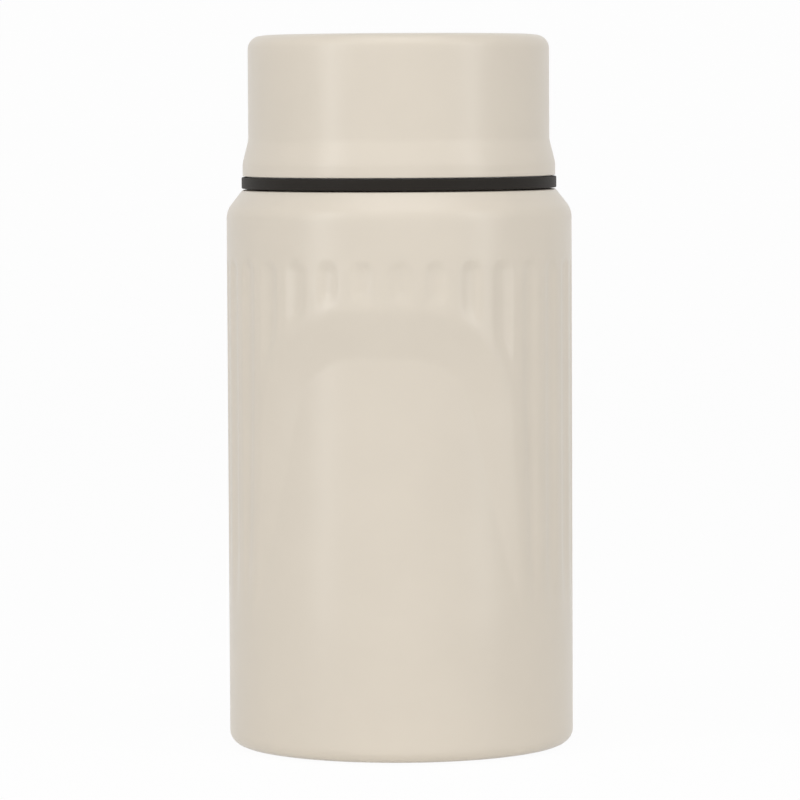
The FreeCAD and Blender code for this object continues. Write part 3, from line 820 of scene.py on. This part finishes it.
class FOODJAR_OT_cup(bpy.types.Operator):
    """Make the cup lid's coated skin and the drinking cup inside it"""
    bl_idname = "foodjar.cup"
    bl_label = "Cup Lid"

    def execute(self, context):
        jar = settings(context)
        self.skin(jar)
        self.liner(jar)
        dressed("cup_foam", made_once("closed_cell_foam", foam_finish, jar.colours))
        return {"FINISHED"}

    def skin(self, jar):
        foot, wall = foot_of("cup_shell"), 0.0006
        edge = 0.00022
        skirt = radius_of("cup_shell")
        outer = [(skirt - wall, foot, edge), (skirt, foot, edge)] + cup_outline(0.0, foot)
        inner = cup_outline(wall, foot)[::-1]
        outline = [tuple(p) for p in divided(rounded_outline(outer + inner, 8), 0.003, True)]
        coat = made_once("cream_powder_coat", coat_finish, jar.colours)
        placed(revolved("cup_skin", outline, 180), "cup_shell", "cup", coat)

    def liner(self, jar):
        foot, top = foot_of("cup_liner"), top_of("cup_liner")
        wall, gap = 0.0012, 0.00075
        skirt = radius_of("cup_liner")
        upper = skirt - LID_FLARE
        groove, groove_in, groove_width = 0.0013, 0.0011, 0.001
        corners = [
            (skirt - 0.0001, foot, 0),
            (skirt, foot + FLARE_FOOT, 0.006),
            (upper, foot + FLARE_TOP, 0.007),
            (upper, top, 0.0003),
            (0, top, 0),
            (0, top - wall, 0),
            (upper - wall, top - wall, 0.0030),
            (upper - wall, foot + FLARE_TOP, 0.007),
            (skirt - wall, foot + FLARE_FOOT, 0.005),
            (skirt - wall, foot, 0.0001),
            (skirt - groove_in, foot, 0),
            (skirt - groove_in, foot + groove, 0),
            (skirt - groove_in + groove_width, foot + groove, 0),
            (skirt - groove_in + groove_width, foot, 0),
        ]
        outline = [tuple(p) for p in divided(rounded_outline(corners, 5), 0.0008, True)]
        low, high = foot + 0.0016, foot + 0.0056

        def relief(turn, r, z):
            if skirt - wall - 0.0006 < r < skirt - wall + 0.00005 and low < z < high:
                return -thread_ridge(jar.thread, turn, z, low, high, 1)
            return 0.0

        piece = revolved("drinking_cup", outline, 300, relief)
        placed(piece, "cup_liner", "cup", dark_plastic(jar.colours))


def direction(turn, lift):
    """Direction from the jar towards a compass turn from its front, and a lift over the floor."""
    return Vector((math.sin(turn) * math.cos(lift), -math.cos(turn) * math.cos(lift), math.sin(lift)))


class FOODJAR_OT_stage(bpy.types.Operator):
    """Set up the floor, soft lamps, background and camera"""
    bl_idname = "foodjar.stage"
    bl_label = "Stage"

    def execute(self, context):
        stage = settings(context).stage
        context.scene.view_settings.view_transform = "Standard"
        self.floor()
        self.background(context, stage)
        tall, square = (0.2, 1.2), (0.9, 0.9)
        left = direction(stage.key_side, stage.tall_lift) * 1.3
        right = direction(stage.fill_side, stage.tall_lift) * 1.3
        above = direction(stage.azimuth, stage.overhead_lift) * 1.1
        self.lamp("left_lamp", left, tall, stage.key)
        self.lamp("right_lamp", right, tall, stage.fill)
        self.lamp("top_lamp", above, square, stage.overhead)
        self.camera(context, stage)
        return {"FINISHED"}

    def floor(self):
        """One curved sheet: a floor that sweeps up behind the jar."""
        reach, bend, height, gap, steps = 2.6, 0.8, 2.4, 0.0001, 12
        outline = [(-reach, -gap), (reach - bend, -gap)]
        for k in range(1, steps + 1):
            turn = math.pi / 2 * k / steps
            outline.append((reach - bend + bend * math.sin(turn), bend - gap - bend * math.cos(turn)))
        outline.append((reach, height))
        points = [(side * reach, y, z) for y, z in outline for side in (-1, 1)]
        faces = [(2 * k, 2 * k + 1, 2 * k + 3, 2 * k + 2) for k in range(len(outline) - 1)]
        mesh = bpy.data.meshes.new("floor_sheet")
        mesh.from_pydata(points, [], faces)
        sheet = bpy.data.objects.new("floor_sheet", mesh)
        bpy.context.scene.collection.objects.link(sheet)
        mesh.materials.append(self.paper())

    def paper(self):
        """White paper that shows the jar's soft shadow and is otherwise as white as the background."""
        material, links, shader, add = node_material("white_paper")
        place = add("ShaderNodeTexCoord").outputs["Object"]
        varied_roughness(add, links, shader, noise(add, links, 30.0, 2.0, place), 0.85, 0.95)
        shader.inputs["Base Color"].default_value = (PAPER, PAPER, PAPER, 1)
        shader.inputs["Specular IOR Level"].default_value = 0.0
        glow = add("ShaderNodeEmission", Strength=1.0)
        seen = self.seen_directly(add, links)
        weight = add("ShaderNodeMath", operation="MULTIPLY")
        weight.inputs[1].default_value = PAPER_GLOW
        links.new(seen, weight.inputs[0])
        mix = add("ShaderNodeMixShader")
        links.new(weight.outputs["Value"], mix.inputs["Fac"])
        links.new(shader.outputs["BSDF"], mix.inputs[1])
        links.new(glow.outputs["Emission"], mix.inputs[2])
        output = material.node_tree.nodes["Material Output"]
        links.new(mix.outputs["Shader"], output.inputs["Surface"])
        return material

    def seen_directly(self, add, links):
        """1 for rays from the camera, from gloss and through glass, else 0."""
        path = add("ShaderNodeLightPath")
        first = add("ShaderNodeMath", operation="MAXIMUM")
        links.new(path.outputs["Is Camera Ray"], first.inputs[0])
        links.new(path.outputs["Is Glossy Ray"], first.inputs[1])
        second = add("ShaderNodeMath", operation="MAXIMUM")
        links.new(first.outputs["Value"], second.inputs[0])
        links.new(path.outputs["Is Transmission Ray"], second.inputs[1])
        return second.outputs["Value"]

    def background(self, context, stage):
        world = bpy.data.worlds.new("white_room")
        context.scene.world = world
        world.use_nodes = True
        tree = world.node_tree

        def add(kind, **values):
            node = tree.nodes.new(kind)
            for key, value in values.items():
                setattr(node, key, value)
            return node

        light = tree.nodes["Background"]
        light.inputs["Color"].default_value = (1, 1, 1, 1)
        towards = add("ShaderNodeVectorMath", operation="DOT_PRODUCT")
        towards.inputs[1].default_value = direction(stage.azimuth, 0.0)
        tree.links.new(add("ShaderNodeTexCoord").outputs["Generated"], towards.inputs[0])
        level = add("ShaderNodeMapRange")
        level.inputs["From Min"].default_value = -0.2
        level.inputs["To Min"].default_value = stage.ambient_back
        level.inputs["To Max"].default_value = stage.ambient
        tree.links.new(towards.outputs["Value"], level.inputs["Value"])
        tree.links.new(level.outputs["Result"], light.inputs["Strength"])
        white = add("ShaderNodeBackground")
        white.inputs["Color"].default_value = (1, 1, 1, 1)
        mix = add("ShaderNodeMixShader")
        tree.links.new(self.seen_directly(add, tree.links), mix.inputs["Fac"])
        tree.links.new(light.outputs["Background"], mix.inputs[1])
        tree.links.new(white.outputs["Background"], mix.inputs[2])
        tree.links.new(mix.outputs["Shader"], tree.nodes["World Output"].inputs["Surface"])

    def lamp(self, name, offset, size, watts):
        """Soft rectangular lamp that faces the jar's middle."""
        light = bpy.data.lights.new(name, "AREA")
        light.shape = "RECTANGLE"
        light.size, light.size_y = size
        light.energy = watts
        piece = bpy.data.objects.new(name, light)
        bpy.context.scene.collection.objects.link(piece)
        piece.location = Vector((0, 0, 0.1)) + offset
        piece.rotation_euler = offset.to_track_quat("Z", "Y").to_euler()

    def camera(self, context, stage):
        lens = bpy.data.cameras.new("photo_camera")
        lens.sensor_width = 36.0
        lens.lens = stage.lens
        lens.clip_end = 20.0
        piece = bpy.data.objects.new("photo_camera", lens)
        context.scene.collection.objects.link(piece)
        backwards = direction(stage.azimuth, stage.pitch)
        turn = backwards.to_track_quat("Z", "Y").to_matrix().to_4x4()
        place = direction(stage.azimuth, 0.0) * stage.distance + Vector((0, 0, stage.eye_height))
        piece.matrix_world = Matrix.Translation(place) @ turn @ Matrix.Rotation(-stage.roll, 4, "Z")
        context.scene.camera = piece


OPERATORS = (
    FOODJAR_OT_stage,
    FOODJAR_OT_outer_shell,
    FOODJAR_OT_vessel,
    FOODJAR_OT_base_pad,
    FOODJAR_OT_stopper,
    FOODJAR_OT_gaskets,
    FOODJAR_OT_vent,
    FOODJAR_OT_cup,
)


class FOODJAR_PT_sidebar(bpy.types.Panel):
    """Sizes, colours and pieces of the food jar"""
    bl_idname = "FOODJAR_PT_sidebar"
    bl_label = "Food Jar"
    bl_space_type = "VIEW_3D"
    bl_region_type = "UI"
    bl_category = "Food Jar"

    def draw(self, context):
        jar = settings(context)
        for group in (jar.body, jar.thread, jar.colours, jar.stage):
            column = self.layout.column()
            for name in group.__annotations__:
                column.prop(group, name)
        for operator in OPERATORS:
            self.layout.operator(operator.bl_idname)


CLASSES = (JarBodySizes, JarThreadSizes, JarColours, JarStage, FoodJar) + OPERATORS + (FOODJAR_PT_sidebar,)


def register():
    for cls in CLASSES:
        bpy.utils.register_class(cls)
    bpy.types.Scene.food_jar = PointerProperty(type=FoodJar, name="Food jar", description="Food jar settings")


def unregister():
    del bpy.types.Scene.food_jar
    for cls in reversed(CLASSES):
        bpy.utils.unregister_class(cls)


def main():
    register()
    for operator in OPERATORS:
        family, name = operator.bl_idname.split(".")
        getattr(getattr(bpy.ops, family), name)()


if __name__ == "__main__":
    main()
